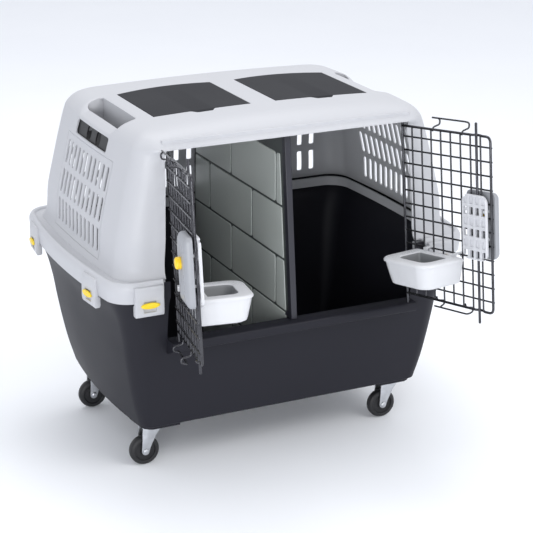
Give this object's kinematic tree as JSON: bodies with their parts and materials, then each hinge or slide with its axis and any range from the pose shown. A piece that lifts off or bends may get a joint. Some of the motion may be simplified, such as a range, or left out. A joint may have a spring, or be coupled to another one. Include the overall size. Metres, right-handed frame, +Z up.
{
  "type": "pet travel crate",
  "caption": "Wheeled double pet travel crate: dark tub, light vented shell with roof lids, central divider, wire doors with spring bolts and hanging bowls, swivel casters.",
  "frame": {"origin": "on the floor under the middle of the crate's box with its doors open", "axes": "+X along the long front from left to right, +Y from the doors to the back wall, +Z up"},
  "size_m": [0.8126, 0.797, 0.7108],
  "materials": {
    "shell_plastic": "light grey moulded plastic, satin",
    "base_plastic": "anthracite moulded plastic, satin",
    "lid_plastic": "anthracite moulded plastic, satin",
    "insert_plastic": "black moulded plastic",
    "divider_plastic": "grey-green moulded plastic",
    "edge_plastic": "black moulded plastic",
    "coated_wire": "black coated welded wire",
    "bolt_steel": "black steel rod",
    "latch_body_plastic": "light grey moulded plastic",
    "button_plastic": "yellow moulded plastic",
    "bowl_plastic": "white moulded plastic",
    "caster_black": "black moulded plastic",
    "wheel_rubber": "black rubber",
    "zinc_steel": "bright zinc-plated steel"
  },
  "bodies": {
    "crate": {"base_tub": "base_plastic", "upper_shell": "shell_plastic", "handle_insert_left": "insert_plastic", "handle_insert_right": "insert_plastic", "divider_panel": "divider_plastic", "divider_edge": "edge_plastic", "caster_plate_front_left": "caster_black", "caster_plate_front_right": "caster_black", "caster_plate_back_left": "caster_black", "caster_plate_back_right": "caster_black"},
    "lid_left": {"roof_lid_left": "lid_plastic"},
    "lid_right": {"roof_lid_right": "lid_plastic"},
    "door_left": {"door_grid_left": "coated_wire", "door_hook_upper_left": "coated_wire", "door_hook_lower_left": "coated_wire", "latch_housing_left": "latch_body_plastic", "latch_inner_plate_left": "bowl_plastic"},
    "door_right": {"door_grid_right": "coated_wire", "door_hook_upper_right": "coated_wire", "door_hook_lower_right": "coated_wire", "latch_housing_right": "latch_body_plastic", "latch_inner_plate_right": "bowl_plastic"},
    "button_left": {"door_button_left": "button_plastic"},
    "button_right": {"door_button_right": "button_plastic"},
    "bolt_upper_left": {"bolt_upper_left": "bolt_steel"},
    "bolt_lower_left": {"bolt_lower_left": "bolt_steel"},
    "bolt_upper_right": {"bolt_upper_right": "bolt_steel"},
    "bolt_lower_right": {"bolt_lower_right": "bolt_steel"},
    "bowl_left": {"bowl_left": "bowl_plastic"},
    "bowl_right": {"bowl_right": "bowl_plastic"},
    "latch_front_left": {"latch_plate_front_left": "shell_plastic"},
    "latch_front_right": {"latch_plate_front_right": "shell_plastic"},
    "latch_back_left": {"latch_plate_back_left": "shell_plastic"},
    "latch_back_right": {"latch_plate_back_right": "shell_plastic"},
    "latch_end_left_front": {"latch_plate_end_left_front": "shell_plastic"},
    "latch_end_left_back": {"latch_plate_end_left_back": "shell_plastic"},
    "latch_end_right_front": {"latch_plate_end_right_front": "shell_plastic"},
    "latch_end_right_back": {"latch_plate_end_right_back": "shell_plastic"},
    "slider_front_left": {"latch_slider_front_left": "button_plastic"},
    "slider_front_right": {"latch_slider_front_right": "button_plastic"},
    "slider_back_left": {"latch_slider_back_left": "button_plastic"},
    "slider_back_right": {"latch_slider_back_right": "button_plastic"},
    "slider_end_left_front": {"latch_slider_end_left_front": "button_plastic"},
    "slider_end_left_back": {"latch_slider_end_left_back": "button_plastic"},
    "slider_end_right_front": {"latch_slider_end_right_front": "button_plastic"},
    "slider_end_right_back": {"latch_slider_end_right_back": "button_plastic"},
    "fork_front_left": {"caster_fork_front_left": "zinc_steel", "caster_axle_front_left": "zinc_steel"},
    "fork_front_right": {"caster_fork_front_right": "zinc_steel", "caster_axle_front_right": "zinc_steel"},
    "fork_back_left": {"caster_fork_back_left": "zinc_steel", "caster_axle_back_left": "zinc_steel"},
    "fork_back_right": {"caster_fork_back_right": "zinc_steel", "caster_axle_back_right": "zinc_steel"},
    "wheel_front_left": {"caster_wheel_front_left": "wheel_rubber"},
    "wheel_front_right": {"caster_wheel_front_right": "wheel_rubber"},
    "wheel_back_left": {"caster_wheel_back_left": "wheel_rubber"},
    "wheel_back_right": {"caster_wheel_back_right": "wheel_rubber"}
  },
  "joints": [
    {"name": "lid_left_hinge", "type": "hinge", "parent": "crate", "child": "lid_left", "pos_m": [-0.13, 0.2011, 0.7105], "axis": [-1, 0, 0], "range_deg": [0, 110]},
    {"name": "lid_right_hinge", "type": "hinge", "parent": "crate", "child": "lid_right", "pos_m": [0.13, 0.2011, 0.7105], "axis": [-1, 0, 0], "range_deg": [0, 110]},
    {"name": "door_left_hinge", "type": "hinge", "parent": "crate", "child": "door_left", "pos_m": [-0.2519, -0.1575, 0.3209], "axis": [0, -0.1142, -0.9935], "range_deg": [-102, 5]},
    {"name": "door_right_hinge", "type": "hinge", "parent": "crate", "child": "door_right", "pos_m": [0.2519, -0.1575, 0.3209], "axis": [0, 0.1142, 0.9935], "range_deg": [-102, 5]},
    {"name": "button_left_press", "type": "slide", "parent": "door_left", "child": "button_left", "axis": [0.9781, -0.2065, 0.0238], "range_m": [0, 0.008], "stiffness_N_per_m": 300},
    {"name": "button_right_press", "type": "slide", "parent": "door_right", "child": "button_right", "axis": [-0.9781, -0.2065, 0.0238], "range_m": [0, 0.008], "stiffness_N_per_m": 300},
    {"name": "bolt_upper_left_slide", "type": "slide", "parent": "door_left", "child": "bolt_upper_left", "axis": [0, -0.1142, -0.9935], "range_m": [0, 0.018]},
    {"name": "bolt_lower_left_slide", "type": "slide", "parent": "door_left", "child": "bolt_lower_left", "axis": [0, 0.1142, 0.9935], "range_m": [0, 0.018]},
    {"name": "bolt_upper_right_slide", "type": "slide", "parent": "door_right", "child": "bolt_upper_right", "axis": [0, -0.1142, -0.9935], "range_m": [0, 0.018]},
    {"name": "bolt_lower_right_slide", "type": "slide", "parent": "door_right", "child": "bolt_lower_right", "axis": [0, 0.1142, 0.9935], "range_m": [0, 0.018]},
    {"name": "bowl_left_lift", "type": "slide", "parent": "door_left", "child": "bowl_left", "axis": [0, 0.1142, 0.9935], "range_m": [0, 0.018]},
    {"name": "bowl_right_lift", "type": "slide", "parent": "door_right", "child": "bowl_right", "axis": [0, 0.1142, 0.9935], "range_m": [0, 0.018]},
    {"name": "latch_front_left_flap", "type": "hinge", "parent": "crate", "child": "latch_front_left", "pos_m": [-0.3162, -0.1697, 0.4262], "axis": [1, 0, 0], "range_deg": [-50, 0]},
    {"name": "latch_front_right_flap", "type": "hinge", "parent": "crate", "child": "latch_front_right", "pos_m": [0.3162, -0.1697, 0.4262], "axis": [1, 0, 0], "range_deg": [-50, 0]},
    {"name": "latch_back_left_flap", "type": "hinge", "parent": "crate", "child": "latch_back_left", "pos_m": [-0.3162, 0.3849, 0.4262], "axis": [-1, 0, 0], "range_deg": [-50, 0]},
    {"name": "latch_back_right_flap", "type": "hinge", "parent": "crate", "child": "latch_back_right", "pos_m": [0.3162, 0.3849, 0.4262], "axis": [-1, 0, 0], "range_deg": [-50, 0]},
    {"name": "latch_end_left_front_flap", "type": "hinge", "parent": "crate", "child": "latch_end_left_front", "pos_m": [-0.39438, -0.06469, 0.4262], "axis": [0.0969, -0.9953, 0], "range_deg": [-50, 0]},
    {"name": "latch_end_left_back_flap", "type": "hinge", "parent": "crate", "child": "latch_end_left_back", "pos_m": [-0.39438, 0.27989, 0.4262], "axis": [-0.0969, -0.9953, 0], "range_deg": [-50, 0]},
    {"name": "latch_end_right_front_flap", "type": "hinge", "parent": "crate", "child": "latch_end_right_front", "pos_m": [0.39438, -0.06469, 0.4262], "axis": [0.0969, 0.9953, 0], "range_deg": [-50, 0]},
    {"name": "latch_end_right_back_flap", "type": "hinge", "parent": "crate", "child": "latch_end_right_back", "pos_m": [0.39438, 0.27989, 0.4262], "axis": [-0.0969, 0.9953, 0], "range_deg": [-50, 0]},
    {"name": "slider_front_left_slide", "type": "slide", "parent": "latch_front_left", "child": "slider_front_left", "axis": [0, 0, -1], "range_m": [0, 0.006]},
    {"name": "slider_front_right_slide", "type": "slide", "parent": "latch_front_right", "child": "slider_front_right", "axis": [0, 0, -1], "range_m": [0, 0.006]},
    {"name": "slider_back_left_slide", "type": "slide", "parent": "latch_back_left", "child": "slider_back_left", "axis": [0, 0, -1], "range_m": [0, 0.006]},
    {"name": "slider_back_right_slide", "type": "slide", "parent": "latch_back_right", "child": "slider_back_right", "axis": [0, 0, -1], "range_m": [0, 0.006]},
    {"name": "slider_end_left_front_slide", "type": "slide", "parent": "latch_end_left_front", "child": "slider_end_left_front", "axis": [0, 0, -1], "range_m": [0, 0.006]},
    {"name": "slider_end_left_back_slide", "type": "slide", "parent": "latch_end_left_back", "child": "slider_end_left_back", "axis": [0, 0, -1], "range_m": [0, 0.006]},
    {"name": "slider_end_right_front_slide", "type": "slide", "parent": "latch_end_right_front", "child": "slider_end_right_front", "axis": [0, 0, -1], "range_m": [0, 0.006]},
    {"name": "slider_end_right_back_slide", "type": "slide", "parent": "latch_end_right_back", "child": "slider_end_right_back", "axis": [0, 0, -1], "range_m": [0, 0.006]},
    {"name": "fork_front_left_swivel", "type": "hinge", "parent": "crate", "child": "fork_front_left", "pos_m": [-0.2723, -0.048, 0.0842], "axis": [0, 0, 1], "continuous": true},
    {"name": "fork_front_right_swivel", "type": "hinge", "parent": "crate", "child": "fork_front_right", "pos_m": [0.2723, -0.048, 0.0842], "axis": [0, 0, 1], "continuous": true},
    {"name": "fork_back_left_swivel", "type": "hinge", "parent": "crate", "child": "fork_back_left", "pos_m": [-0.2723, 0.2632, 0.0842], "axis": [0, 0, 1], "continuous": true},
    {"name": "fork_back_right_swivel", "type": "hinge", "parent": "crate", "child": "fork_back_right", "pos_m": [0.2723, 0.2632, 0.0842], "axis": [0, 0, 1], "continuous": true},
    {"name": "wheel_front_left_spin", "type": "hinge", "parent": "fork_front_left", "child": "wheel_front_left", "pos_m": [-0.2882, -0.048, 0.031], "axis": [0, 1, 0], "continuous": true},
    {"name": "wheel_front_right_spin", "type": "hinge", "parent": "fork_front_right", "child": "wheel_front_right", "pos_m": [0.2564, -0.048, 0.031], "axis": [0, 1, 0], "continuous": true},
    {"name": "wheel_back_left_spin", "type": "hinge", "parent": "fork_back_left", "child": "wheel_back_left", "pos_m": [-0.2882, 0.2632, 0.031], "axis": [0, 1, 0], "continuous": true},
    {"name": "wheel_back_right_spin", "type": "hinge", "parent": "fork_back_right", "child": "wheel_back_right", "pos_m": [0.2564, 0.2632, 0.031], "axis": [0, 1, 0], "continuous": true}
  ],
  "couplings": [
    {"joint": "bolt_upper_left_slide", "follows": "button_left_press", "ratio": 2.25},
    {"joint": "bolt_lower_left_slide", "follows": "button_left_press", "ratio": 2.25},
    {"joint": "bolt_upper_right_slide", "follows": "button_right_press", "ratio": 2.25},
    {"joint": "bolt_lower_right_slide", "follows": "button_right_press", "ratio": 2.25}
  ]
}
